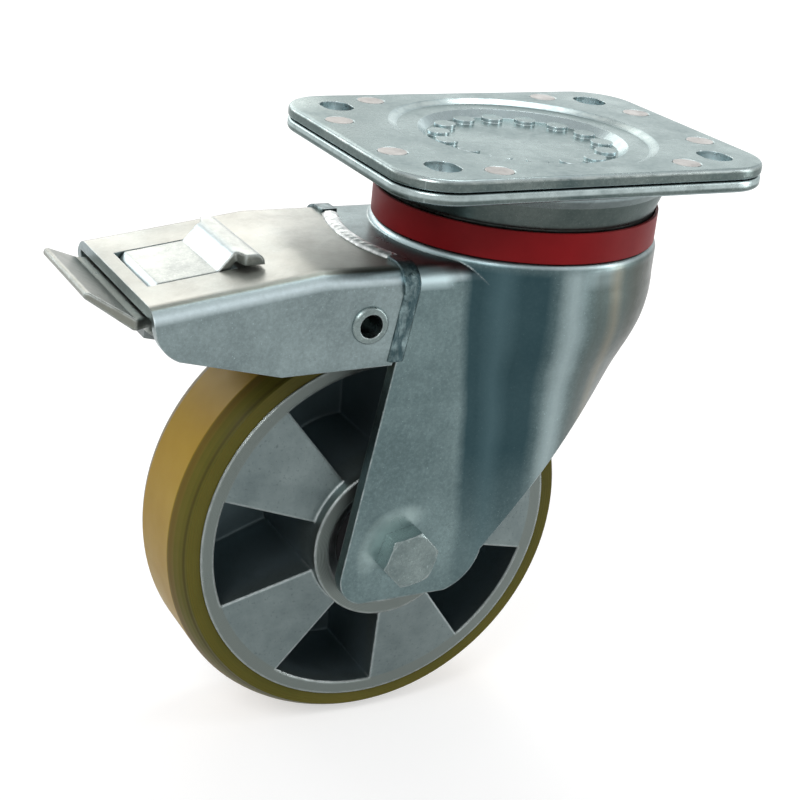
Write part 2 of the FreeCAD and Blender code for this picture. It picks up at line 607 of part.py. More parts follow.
def make_brake_cover():
    body = new_body("brake_cover")
    extrude(body, draw(new_sketch(body, "XZ"), cover_side()), "2 * fork_half_width", symmetric=True)
    dress(body, "Fillet", "bend_round", bend_edges("fork_half_width", f"{SHELF_TOP} + cover_front_drop"))
    top = f"(-{SHELF_TOP} - cover_sheet)"
    fall = "tan(cover_fall)"
    inner_front = "(-cover_front + cover_sheet)"
    extrude(body, draw(new_sketch(body, "XZ"), [
        ("0", top), ("-(cover_level) - cover_sheet * tan(cover_fall / 2)", top),
        (inner_front, f"{top} - (cover_front - cover_sheet - cover_level) * {fall}"),
        (inner_front, "-2 * cover_low"), ("0", "-2 * cover_low")]),
        "2 * (fork_half_width - cover_sheet)", adds=False, symmetric=True)
    dress(body, "Fillet", "bend_round - cover_sheet",
          bend_edges("fork_half_width - cover_sheet", f"{SHELF_TOP} + cover_front_drop"))
    lip_z = f"(-{SHELF_TOP} - (cover_front - cover_level) * {fall} - cover_lip)"
    extrude(body, draw(new_sketch(body, "XZ"), [
        ("-(cover_front) - 20", lip_z), (f"{inner_front} + 0.5", lip_z),
        (f"{inner_front} + 0.5", "-2 * cover_low"), ("-(cover_front) - 20", "-2 * cover_low")]),
        "2 * (fork_half_width - cover_sheet)", adds=False, symmetric=True)
    extrude(body, draw(new_sketch(body, "XY"), [
        ("-(window_front)", "-(window_half)"), ("-(window_rear)", "-(window_half)"),
        ("-(window_rear)", "window_half"), ("-(window_front)", "window_half")]),
        "cover_low", adds=False)
    gap = "(shelf_radius + weld_gap)"
    edge = "(leg_left + weld_gap)"
    reach = f"sqrt({gap} ^ 2 - {edge} ^ 2)"
    extrude(body, draw(new_sketch(body, "XY"), [
        (f"-{edge}", f"-{reach}", gap, -1), (f"-{gap}", "0", gap, -1), (f"-{edge}", reach),
        (f"-{edge}", "2 * fork_half_width"), ("0", "2 * fork_half_width"),
        ("0", "-2 * fork_half_width"), (f"-{edge}", "-2 * fork_half_width")]),
        f"{SHELF_TOP} + bend_round", adds=False)
    extrude(body, draw(new_sketch(body, "XZ"), [
        (f"-{edge}", "0"), (f"-{edge}", f"-{SHELF_TOP} - bend_round"),
        leg_edge_at("cover_low + 4", "weld_gap"),
        ("0", "-(cover_low) - 4"), ("0", "0")]), "4 * fork_half_width", adds=False, symmetric=True)
    extrude(body, circle(new_sketch(body, "XZ"), "-(tube_x)", "-(tube_z)", "tube_radius + bond_gap"),
            "4 * fork_half_width", adds=False, symmetric=True)


def leg_edge_at(drop, away="0"):
    """A point on the leg's front edge, or the stated distance ahead of it."""
    top = f"({SHELF_TOP} + bend_round)"
    foot = f"({FOOT_Z} - leg_foot_round - 3)"
    lean = f"((leg_foot_left - leg_left) / ({foot} - {top}))"
    return (f"-(leg_left + {away} + {lean} * (({drop}) - {top}))", f"-({drop})")


def make_welds():
    """The bead round the crown's shelf, and one over each side and down the front edge of each leg."""
    body = new_body("weld_top")
    inner, outer = "(shelf_radius + bond_gap)", "(shelf_radius + weld_gap - bond_gap)"
    middle = "(shelf_radius + weld_gap / 2)"
    reach = "(weld_gap / 2 + weld_width)"
    turn(body, draw(new_sketch(body, "XZ"), [
        (inner, f"-{SHELF_UNDER} + bond_gap"), (outer, f"-{SHELF_UNDER} + bond_gap"),
        (outer, f"-{SHELF_TOP}"),
        (f"{middle} + {reach}", f"-{SHELF_TOP}"),
        (f"{middle} + {reach} * 0.6", f"-{SHELF_TOP} + weld_rise * 0.75"),
        (middle, f"-{SHELF_TOP} + weld_rise"),
        (f"{middle} - {reach} * 0.6", f"-{SHELF_TOP} + weld_rise * 0.75"),
        (f"{middle} - {reach}", f"-{SHELF_TOP}"), (inner, f"-{SHELF_TOP}")]),
        angle="2 * acos(leg_left / shelf_radius) - 2 deg", symmetric=True)
    body.Placement.Rotation = FreeCAD.Rotation(FreeCAD.Vector(0, 0, 1), 180)
    for name, mirrored in (("weld_near", False), ("weld_far", True)):
        body = new_body(name)
        corner_bead(body)
        top, foot = f"{SHELF_TOP} + bend_round", "cover_low - weld_end"
        near_top, near_foot = [leg_edge_at(drop, "bond_gap") for drop in (top, foot)]
        far_top, far_foot = [leg_edge_at(drop, "weld_gap - bond_gap") for drop in (top, foot)]
        extrude(body, draw(new_sketch(body, "XZ", "fork_half_width - cover_sheet"),
                           [near_top, far_top, far_foot, near_foot]), "cover_sheet")
        cap_near = [leg_edge_at(drop, "-(weld_width)") for drop in (foot, top)]
        cap_far = [leg_edge_at(drop, "weld_gap + weld_width") for drop in (top, foot)]
        extrude(body, draw(new_sketch(body, "XZ", "fork_half_width"), cap_near + cap_far), "weld_rise")
        long_edge, outside = value("bend_round * 2"), value("-fork_half_width - weld_rise / 2")
        dress(body, "Chamfer", "weld_rise * 0.8", lambda edge: edge.BoundBox.ZLength > long_edge
              and edge.BoundBox.YMin < outside)
        if mirrored:
            mirror_y(body)


def corner_bead(body):
    """The bead over the shelf's rounded side: a strip between the sheets, and a cap over them."""
    side = "fork_half_width"
    level = f"{SHELF_TOP} + bend_round"
    end = "(sqrt(shelf_radius ^ 2 - leg_left ^ 2) + weld_gap / 2)"
    flat = f"(-{side} + bend_round)"
    extrude(body, draw(new_sketch(body, "YZ", "-(leg_left + weld_gap - bond_gap)"), [
        (f"-{side}", f"-({level})", "bend_round", -1), (flat, f"-{SHELF_TOP}"),
        (f"-{end}", f"-{SHELF_TOP}"), (f"-{end}", f"-{SHELF_TOP} - cover_sheet"), (flat, f"-{SHELF_TOP} - cover_sheet"),
        (f"-{side} + cover_sheet", f"-({level})")]), "weld_gap - 2 * bond_gap")
    extrude(body, draw(new_sketch(body, "YZ", "-(leg_left + weld_gap + weld_width)"), [
        (f"-{side} - weld_rise", f"-({level})", "bend_round + weld_rise", -1),
        (flat, f"-{SHELF_TOP} + weld_rise"), (f"-{end}", f"-{SHELF_TOP} + weld_rise"),
        (f"-{end}", f"-{SHELF_TOP}"), (flat, f"-{SHELF_TOP}", "bend_round", 1),
        (f"-{side}", f"-({level})")]), "weld_gap + 2 * weld_width")


def mirror_y(body):
    """The same piece on the far side of the wheel: mirrored over the XZ plane."""
    mirror = doc.addObject("Part::Mirroring", f"{body.Name}_mirrored")
    mirror.Source = body
    mirror.Normal = FreeCAD.Vector(0, 1, 0)
    mirror.Base = FreeCAD.Vector(0, 0, 0)
    PIECES.remove(body)
    name = body.Label
    body.Label = f"{name}_source"
    mirror.Label = name
    PIECES.append(mirror)
    doc.recompute()


def make_tube_rivet():
    """A tube through both sides of the cover, with its ends rolled over into rounded flanges."""
    body = new_body("tube_rivet", "-(tube_x)", "0", "-(tube_z)")
    bore, side, roll = "(tube_radius - tube_wall)", "fork_half_width", "tube_flange_height"
    turn(body, draw(new_sketch(body, "XY"), [
        (bore, f"-{side} - {roll}"), (f"tube_flange - {roll}", f"-{side} - {roll}", roll, 1),
        ("tube_flange", f"-{side}"), ("tube_radius", f"-{side}"), ("tube_radius", side),
        ("tube_flange", side, roll, 1), (f"tube_flange - {roll}", f"{side} + {roll}"),
        (bore, f"{side} + {roll}")]))


def tube_piece(name, inner, outer, start, end, x="-(trail)", z="-(axle_drop)"):
    """A plain tube along Y, at the axle unless another place is given."""
    body = new_body(name, x, "0", z)
    turn(body, draw(new_sketch(body, "XY"), ring_section(inner, outer, start, end)))
    return body


BEARING_OUT = "(hub_half_length - bearing_recess)"
BEARING_IN = "(hub_half_length - bearing_recess - bearing_width)"


def make_axle():
    body = new_body("axle_bolt", "-(trail)", "0", "-(axle_drop)")
    extrude(body, circle(new_sketch(body, "XZ", "fork_half_width"), "0", "0", "bolt_radius"),
            "2 * fork_half_width + bolt_tail", flip=True)
    hexagon(body, "bolt_flats", "fork_half_width", "bolt_head")
    body = new_body("axle_washer", "-(trail)", "0", "-(axle_drop)")
    turn(body, draw(new_sketch(body, "XY"), ring_section(
        "axle_hole", "washer_radius", "fork_half_width", "fork_half_width + washer_sheet")))
    body = new_body("axle_nut", "-(trail)", "fork_half_width + washer_sheet", "-(axle_drop)")
    hexagon(body, "nut_flats", "-(nut_height)", "nut_height", "bolt_radius + slip_fit")
    tube_piece("axle_sleeve", "sleeve_bore", "sleeve_radius - bearing_fit", f"-{LEG_INNER}", LEG_INNER)
    tube_piece("bearing_spacer", "sleeve_radius + bearing_fit", "spacer_radius", f"-{BEARING_IN}", BEARING_IN)
    for name, sign in (("near", "-"), ("far", "")):
        tube_piece(f"axle_spacer_{name}", "sleeve_radius + bearing_fit", "spacer_radius",
                   *sorted_ends(sign, BEARING_OUT, LEG_INNER))


def sorted_ends(sign, inner, outer):
    return (f"-{outer}", f"-{inner}") if sign else (inner, outer)


def hexagon(body, flats, offset, height, bore=None):
    """A hexagon head or nut that grows towards -Y from an XZ plane, with its corners turned off."""
    sketch = new_sketch(body, "XZ", offset)
    reach = f"({flats} / 2 / cos(30))"
    draw(sketch, [(f"{reach} * cos({a})", f"{reach} * sin({a})") for a in range(12, 372, 60)])
    if bore:
        circle(sketch, "0", "0", bore)
    extrude(body, sketch, height)
    face = f"-({offset} + {height})"
    rim = f"({flats} / 2 * 1.02)"
    groove = new_sketch(body, "XY")
    draw(groove, [(rim, face), (f"{reach} + 1", f"{face} + ({reach} + 1 - {rim}) * 0.6"),
                  (f"{reach} + 1", f"{face} - 1"), (rim, f"{face} - 1")])
    turn(body, groove, adds=False)


def make_wheel():
    body = new_body("wheel_core", "-(trail)", "0", "-(axle_drop)")
    rim = "(wheel_radius - tyre_thickness)"
    rim_inner = f"({rim} - rim_sheet)"
    face = "(wheel_half_width + 0.6)"
    turn(body, draw(new_sketch(body, "XY"), [
        ("bearing_shoulder", "-(hub_half_length)"), ("hub_radius", "-(hub_half_length)"),
        ("hub_radius", "-(disc_hub_half)"), (rim_inner, f"-{face}"), (rim, f"-{face}"),
        (rim, face), (rim_inner, face), ("hub_radius", "disc_hub_half"),
        ("hub_radius", "hub_half_length"), ("bearing_shoulder", "hub_half_length")]))
    for sign in ("-", ""):
        turn(body, draw(new_sketch(body, "XY"), ring_section(
            "bearing_shoulder - 1", "bearing_radius", *sorted_ends(sign, BEARING_IN, "(hub_half_length + 1)"))),
            adds=False)
    window = "(360 / spoke_count - spoke_angle)"
    start = "(spoke_phase + spoke_angle / 2)"
    cut = extrude(body, draw(new_sketch(body, "XZ", "-(wheel_half_width - spoke_web)"),
                             sector("hub_radius", rim_inner, start, window)),
                  "2 * hub_half_length", adds=False, flip=True)
    pattern(body, cut, "spoke_count", "Y", False)
    back = "(spoke_angle - 2 * spoke_wall)"
    back_start = "(spoke_phase - spoke_angle / 2 + spoke_wall)"
    cut = extrude(body, draw(new_sketch(body, "XZ", "(wheel_half_width - spoke_web)"),
                             sector("hub_radius + 1", f"{rim_inner}", back_start, back)),
                  "2 * hub_half_length", adds=False)
    pattern(body, cut, "spoke_count", "Y", False)
    body = new_body("tyre", "-(trail)", "0", "-(axle_drop)")
    shoulder = "(wheel_radius - shoulder_drop)"
    turn(body, draw(new_sketch(body, "XY"), [
        (f"{rim} + bond_gap", "-(wheel_half_width)"), (shoulder, "-(wheel_half_width)", "shoulder_bend", 1),
        ("wheel_radius", "-(tread_half)"), ("wheel_radius", "tread_half", "shoulder_bend", 1),
        (shoulder, "wheel_half_width"), (f"{rim} + bond_gap", "wheel_half_width")]))


def sector(inner, outer, start, span):
    """A window between two radii: both arcs are split, so that each stays short."""
    def at(radius, angle):
        return f"({radius}) * cos({angle})", f"({radius}) * sin({angle})"
    middle, end = f"({start} + {span} / 2)", f"({start} + {span})"
    return [at(outer, start) + (outer, 1), at(outer, middle) + (outer, 1), at(outer, end),
            at(inner, end) + (inner, -1), at(inner, middle) + (inner, -1), at(inner, start)]


def make_bearings():
    """Sealed ball bearings: rings and seals, one at each end of the hub."""
    for name, sign in (("near", "-"), ("far", "")):
        ends = sorted_ends(sign, BEARING_IN, BEARING_OUT)
        tube_piece(f"bearing_inner_{name}", "sleeve_radius + bearing_fit",
                   "sleeve_radius + bearing_ring", *ends)
        tube_piece(f"bearing_outer_{name}", "bearing_radius - bearing_ring",
                   "bearing_radius - bearing_fit", *ends)
        seal = sorted_ends(sign, f"({BEARING_OUT} - 1.4)", f"({BEARING_OUT} - 0.4)")
        tube_piece(f"bearing_seal_{name}", "sleeve_radius + bearing_ring + 0.2",
                   "bearing_radius - bearing_ring - 0.03", *seal)


TONGUE_FALL = "tan(cover_fall)"


def tongue_z(x_text):
    """Height of the cover's sloping top at a distance ahead of the swivel axis."""
    return f"(-{SHELF_TOP} - ({x_text} - cover_level) * {TONGUE_FALL})"


def make_brake_lever():
    """One stamped strip: pedal, dip under the cover's lip, tongue in the window, raised bar."""
    body = new_body("brake_lever")
    t = "lever_sheet"
    pedal_under = (f"-(pedal_end_x) + {t} * 0.45", f"-(pedal_end_z) - {t}")
    outline = [
        ("-(pedal_end_x)", "-(pedal_end_z)"), ("-(pedal_root_x)", "-(pedal_root_z)"),
        ("-(tongue_front) - 4", "-(pedal_root_z) + 0.2"),
        ("-(tongue_front)", tongue_z("(tongue_front)")),
        ("-(tongue_rear)", tongue_z("(tongue_rear)")),
        ("-(bar_front) - 1", "-(bar_top) - bar_front_round / 2", "bar_front_round", -1),
        ("-(bar_front) + bar_front_round / 2", "-(bar_top)"),
        ("-(bar_rear) - bar_rear_round", "-(bar_top)", "bar_rear_round", -1),
        ("-(bar_rear)", "-(bar_top) - bar_rear_round"), ("-(bar_rear)", f"-(bar_top) - {t}"),
        ("-(bar_front) + 1.5", f"-(bar_top) - {t}"),
        ("-(tongue_rear) + 2.8", f"{tongue_z('(tongue_rear)')} - {t} + 1.4"),
        ("-(tongue_rear) - 0.5", f"{tongue_z('(tongue_rear)')} - {t}"),
        ("-(tongue_front) + 2.5", f"{tongue_z('(tongue_front)')} - {t} + 0.3"),
        ("-(tongue_front) - 2.4", f"-(pedal_root_z) - {t} + 0.2"),
        ("-(pedal_root_x) - 0.8", f"-(pedal_root_z) - {t}"), pedal_under]
    extrude(body, draw(new_sketch(body, "XZ"), outline), "2 * pedal_root_half", symmetric=True)
    wide = "(2 * pedal_root_half)"
    for sign in (1, -1):
        plan = [
            ("-(pedal_end_x) - 5", wide), ("-(pedal_end_x) - 5", "pedal_half"),
            ("-(pedal_end_x)", "pedal_half"),
            ("-(pedal_root_x)", "pedal_root_half"), ("-(window_front) - 0.5", "pedal_root_half - 3"),
            ("-(window_front) - 0.5", "window_half - window_play"),
            ("-(bar_front) + 1.5", "window_half - window_play"), ("-(bar_front) + 3", "bar_half"),
            ("-(bar_rear) + 5", "bar_half"), ("-(bar_rear) + 5", wide)]
        extrude(body, draw(new_sketch(body, "XY"), [(x, f"{sign} * ({y})") for x, y in plan]),
                "2 * pivot_z", adds=False)
    end, end_top = value("-(pedal_end_x) + pin_play"), value("-(pedal_end_z) - pin_play")
    long_edge = value("pedal_half")
    dress(body, "Fillet", "pedal_round", lambda edge: edge.BoundBox.XMax < end
          and edge.BoundBox.ZMax > end_top and edge.BoundBox.YLength > long_edge)
    for sign in (-1, 1):
        inner = "(ear_inner + ear_sheet)" if sign > 0 else "-(ear_inner)"
        sketch = new_sketch(body, "XZ", inner)
        draw(sketch, [
            ("-(window_front) - 4", "-(pedal_root_z) - 1"),
            ("-(window_front) + 1", "-(pedal_root_z) - 0.5"),
            ("-(pivot_x) + 6", "-(pivot_z) + 3.5"), ("-(pivot_x) + 6", "-(pivot_z) - 5"),
            ("-(window_front) + 1", "-(pivot_z) - 5"), ("-(window_front) - 4", "-(pedal_root_z) - 5")])
        extrude(body, sketch, "ear_sheet", flip=True)
    nose = new_sketch(body, "XZ")
    draw(nose, [
        ("-(window_front) - 1.5", "-(pedal_root_z) - 2"), ("-(window_front) + 3.5", "-(pedal_root_z) - 2"),
        ("-(window_front) + 3.5", "-(pivot_z) - 4"), ("-(window_front) - 0.5", "-(pivot_z) - 4")])
    extrude(body, nose, "arm_half", symmetric=True)
    extrude(body, circle(new_sketch(body, "XZ"), "-(pivot_x)", "-(pivot_z)", "lever_pin + pin_play"),
            "4 * fork_half_width", adds=False, symmetric=True)


def make_lever_pin():
    inner_wall = "(fork_half_width - cover_sheet)"
    tube = new_body("lever_pin", "-(pivot_x)", "0", "-(pivot_z)")
    extrude(tube, circle(new_sketch(tube, "XZ"), "0", "0", "lever_pin"),
            f"2 * ({inner_wall} - bond_gap)", symmetric=True)
    for name, sign in (("near", -1), ("far", 1)):
        body = new_body(f"pin_bracket_{name}")
        outside = f"({inner_wall} - bracket_gap)"
        offset = outside if sign < 0 else f"-({outside} - bracket_sheet)"
        sketch = new_sketch(body, "XZ", offset)
        draw(sketch, [("-(pivot_x) - 9", "-(pivot_z) + 2"), ("-(pivot_x) - 9", "-(pivot_z) - 5"),
                      ("-(pivot_x) + 9", "-(pivot_z) - 5"), ("-(pivot_x) + 9", "-(pivot_z) + 5"),
                      ("-(pivot_x) - 4", "-(pivot_z) + 3.6")])
        circle(sketch, "-(pivot_x)", "-(pivot_z)", "lever_pin + slip_fit")
        extrude(body, sketch, "bracket_sheet", flip=True)


def at_axle(radius, angle):
    return f"-(trail) + {radius} * cos({angle})", f"-(axle_drop) + {radius} * sin({angle})"


PAD_IN = "(wheel_radius + pad_gap)"
PAD_OUT = "(wheel_radius + pad_gap + pad_sheet)"
ARM_IN = "(wheel_radius + pad_gap + pad_sheet + 0.1)"
PAD_MIDDLE = "(pad_start_angle + pad_end_angle) / 2"
FINGER_TOP = "(stem_foot + 1.6)"


def make_brake_arm():
    """The lever that carries the brake pad, and whose finger lifts the swivel lock."""
    body = new_body("brake_arm")
    t = "arm_sheet"
    tail = "(pivot_z + 4.5)"
    shoe = [
        (f"-(tube_x) + {t}", f"-(tube_z) + {t}"), (f"-(tube_x) - 2.5 * {t}", f"-(tube_z) - 0.25 * {t}"),
        ("-(cover_low_x)", f"-(tube_z) - 2.9 * {t}"),
        (f"-(cover_low_x) - 2.5 * {t}", f"-(tube_z) - 2.4 * {t}"),
        ("-(window_front) - 0.5", f"-{tail}"), ("-(window_front) - 0.5", f"-{tail} - {t} + 0.5"),
        (f"-(cover_low_x) - 2.5 * {t}", f"-(tube_z) - 3.4 * {t}"),
        at_axle(f"({ARM_IN} + 0.5)", "pad_end_angle + 1.5"),
        at_axle(ARM_IN, "pad_end_angle") + (ARM_IN, -1), at_axle(ARM_IN, PAD_MIDDLE) + (ARM_IN, -1),
        at_axle(ARM_IN, "pad_start_angle"), (f"-(tube_x) + {t}", f"-(tube_z) - {t}")]
    extrude(body, draw(new_sketch(body, "XZ"), shoe), "2 * arm_half", symmetric=True)
    finger = [
        ("-(tube_x)", "-(tube_z) + 4"), ("-(trail) + 6", "-(tube_z) + 4.5"), ("-18", f"-{FINGER_TOP}"),
        ("6", f"-{FINGER_TOP}"), ("6", f"-{FINGER_TOP} - {t}"), ("-18", f"-{FINGER_TOP} - {t}"),
        ("-(trail) + 6", "-(tube_z) + 0.5"), ("-(tube_x)", "-(tube_z) - 4")]
    extrude(body, draw(new_sketch(body, "XZ"), finger), "2 * finger_half", symmetric=True)
    extrude(body, circle(new_sketch(body, "XZ"), "-(tube_x)", "-(tube_z)", "knuckle_radius"),
            "2 * arm_half", symmetric=True)
    extrude(body, circle(new_sketch(body, "XZ"), "-(tube_x)", "-(tube_z)", "tube_radius + pin_play"),
            "4 * arm_half", adds=False, symmetric=True)
    body = new_body("brake_pad")
    extrude(body, draw(new_sketch(body, "XZ"), [
        at_axle(PAD_IN, "pad_end_angle") + (PAD_IN, -1), at_axle(PAD_IN, PAD_MIDDLE) + (PAD_IN, -1),
        at_axle(PAD_IN, "pad_start_angle"), at_axle(PAD_OUT, "pad_start_angle") + (PAD_OUT, 1),
        at_axle(PAD_OUT, PAD_MIDDLE) + (PAD_OUT, 1), at_axle(PAD_OUT, "pad_end_angle")]),
        "2 * pad_half", symmetric=True)
    wall = "(fork_half_width - cover_sheet)"
    for name, sign in (("near", "-"), ("far", "")):
        tube_piece(f"pivot_spacer_{name}", "tube_radius + pin_play", "tube_radius + 2.6",
                   *sorted_ends(sign, "(arm_half + 0.3)", wall), x="-(tube_x)", z="-(tube_z)")


def make_swivel_lock():
    """A toothed disc that rises into the pockets of the top plate, on a flat stem in a guide."""
    body = new_body("lock_plate")
    disc_under = "(lock_top + lock_sheet)"
    extrude(body, circle(new_sketch(body, "XY", "-(lock_top)"), "0", "0", "lock_radius"),
            "lock_sheet", flip=True)
    tooth = extrude(body, circle(new_sketch(body, "XY", "-(lock_top) - lock_sheet / 2"),
                                 "lock_circle", "0", "tooth_radius"), "tooth_height + lock_sheet / 2")
    pattern(body, tooth, "lock_teeth", "Z", True)
    stem = new_sketch(body, "XY", f"-{disc_under} + 1")
    extrude(body, draw(stem, box_corners("stem_short / 2", "stem_long / 2")),
            f"stem_foot - {disc_under} + 1", flip=True)
    body = new_body("lock_collar")
    sketch = new_sketch(body, "XY", "-(stem_foot)")
    circle(sketch, "0", "0", "collar_radius")
    draw(sketch, box_corners("stem_short / 2 + slip_fit", "stem_long / 2 + slip_fit"))
    extrude(body, sketch, "collar_sheet")
    body = new_body("lock_guide")
    sketch = new_sketch(body, "XY", f"-{CROWN_UNDER}")
    draw(sketch, box_corners("guide_width", "guide_half"))
    draw(sketch, box_corners("stem_short / 2 + guide_play", "stem_long / 2 + guide_play"))
    extrude(body, sketch, "guide_sheet", flip=True)


def make_spring(name, radius, wire, turns, height, x, y, z, rotation=None):
    """A coil spring: a round wire swept along a helix."""
    coil = Part.makeHelix(height / turns, height, radius)
    start = coil.Edges[0].Vertexes[0].Point
    section = Part.Wire(Part.makeCircle(wire, start, coil.Edges[0].tangentAt(coil.Edges[0].FirstParameter)))
    swept = Part.Wire(coil.Edges).makePipeShell([section], True, True)
    spring = doc.addObject("Part::Feature", name)
    spring.Label = name
    spring.Shape = swept
    spring.Placement = FreeCAD.Placement(FreeCAD.Vector(x, y, z), rotation or FreeCAD.Rotation())
    PIECES.append(spring)


def make_springs():
    wire = value("spring_wire")
    low = value("-stem_foot + collar_sheet + spring_wire + spring_play")
    high = value(f"-{CROWN_UNDER} - guide_sheet - spring_wire - spring_play")
    make_spring("lock_spring", value("spring_radius"), wire, 3, high - low, 0, 0, low)
    start = value("arm_half + 1.6")
    length = value("fork_half_width - cover_sheet - spring_end") - start
    side = FreeCAD.Rotation(FreeCAD.Vector(1, 0, 0), 90)
    make_spring("arm_spring", value("tube_radius + 2.6 + 0.3") + wire, wire, 4, length,
                -value("tube_x"), -start, -value("tube_z"), side)


def check_document():
    for item in doc.Objects:
        if "Invalid" in item.State or "Error" in item.State:
            raise ValueError(f"{item.Label}: {item.State}")
    for piece in PIECES:
        if piece.Shape.isNull() or not piece.Shape.isValid():
            raise ValueError(f"{piece.Label}: shape is not valid")


def export():
    os.makedirs("parts", exist_ok=True)
    for piece in PIECES:
        piece.Shape.exportStep(f"parts/{piece.Label}.step")
        print(f"{piece.Label}: {len(piece.Shape.Solids)} solids, {piece.Shape.Volume / 1000:.2f} cm3")


fill_sheet()
make_top_plate()
make_lower_plate()
make_plate_studs()
make_ball_set("upper_ball_ring", "upper_balls", "upper_race", UPPER_BALL_Z)
make_ball_set("lower_ball_ring", "lower_balls", "lower_race", LOWER_BALL_Z)
make_fork()
make_seal_ring()
make_brake_cover()
make_welds()
make_tube_rivet()
make_axle()
make_wheel()
make_bearings()
make_brake_lever()
make_lever_pin()
make_brake_arm()
make_swivel_lock()
make_springs()
check_document()
export()
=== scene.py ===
import bpy
from mathutils import Matrix, Vector


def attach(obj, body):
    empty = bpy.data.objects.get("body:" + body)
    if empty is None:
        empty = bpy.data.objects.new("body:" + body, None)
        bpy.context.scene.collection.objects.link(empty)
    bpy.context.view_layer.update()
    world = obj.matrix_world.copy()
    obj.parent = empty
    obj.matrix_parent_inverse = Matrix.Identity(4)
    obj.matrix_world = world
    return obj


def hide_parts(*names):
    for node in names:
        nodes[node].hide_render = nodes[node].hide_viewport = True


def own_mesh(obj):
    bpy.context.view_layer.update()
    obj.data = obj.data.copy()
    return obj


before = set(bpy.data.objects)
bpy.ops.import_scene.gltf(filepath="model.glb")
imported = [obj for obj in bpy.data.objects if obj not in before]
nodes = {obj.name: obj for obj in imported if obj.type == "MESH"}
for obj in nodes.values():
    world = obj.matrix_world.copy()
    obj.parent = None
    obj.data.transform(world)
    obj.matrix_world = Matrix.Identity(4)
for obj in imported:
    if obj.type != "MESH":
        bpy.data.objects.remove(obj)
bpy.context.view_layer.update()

# Places in metres. The inner lengths reach past the holes and stop short of the plates' edges.

AXLE = (-0.052, 0.0, -0.135)
INNER_HALF_LENGTH = 0.06425
INNER_HALF_WIDTH = 0.04975
PLATES_UNDERSIDE = -0.0084
SHELF_WELD_RADIUS = 0.061
FLOOR_LEVEL = -0.2102
OBJECT_MIDDLE = (-0.04, 0.0, -0.09)

# Colours that several finishes share

WHITE = (1.0, 1.0, 1.0)
# Painted highlight on the bends of zinc parts
BEND_HIGHLIGHT_ZINC = (0.54, 0.64, 0.67)
# Wear and a painted highlight along the sharp edges of zinc parts
EDGE_WEAR_AND_HIGHLIGHT = (0.58, 0.64, 0.64)
# Painted light on the walls of the plates' holes
HOLE_WALL_PAINTED_LIGHT = (0.62, 0.72, 0.74)


# Node graphs

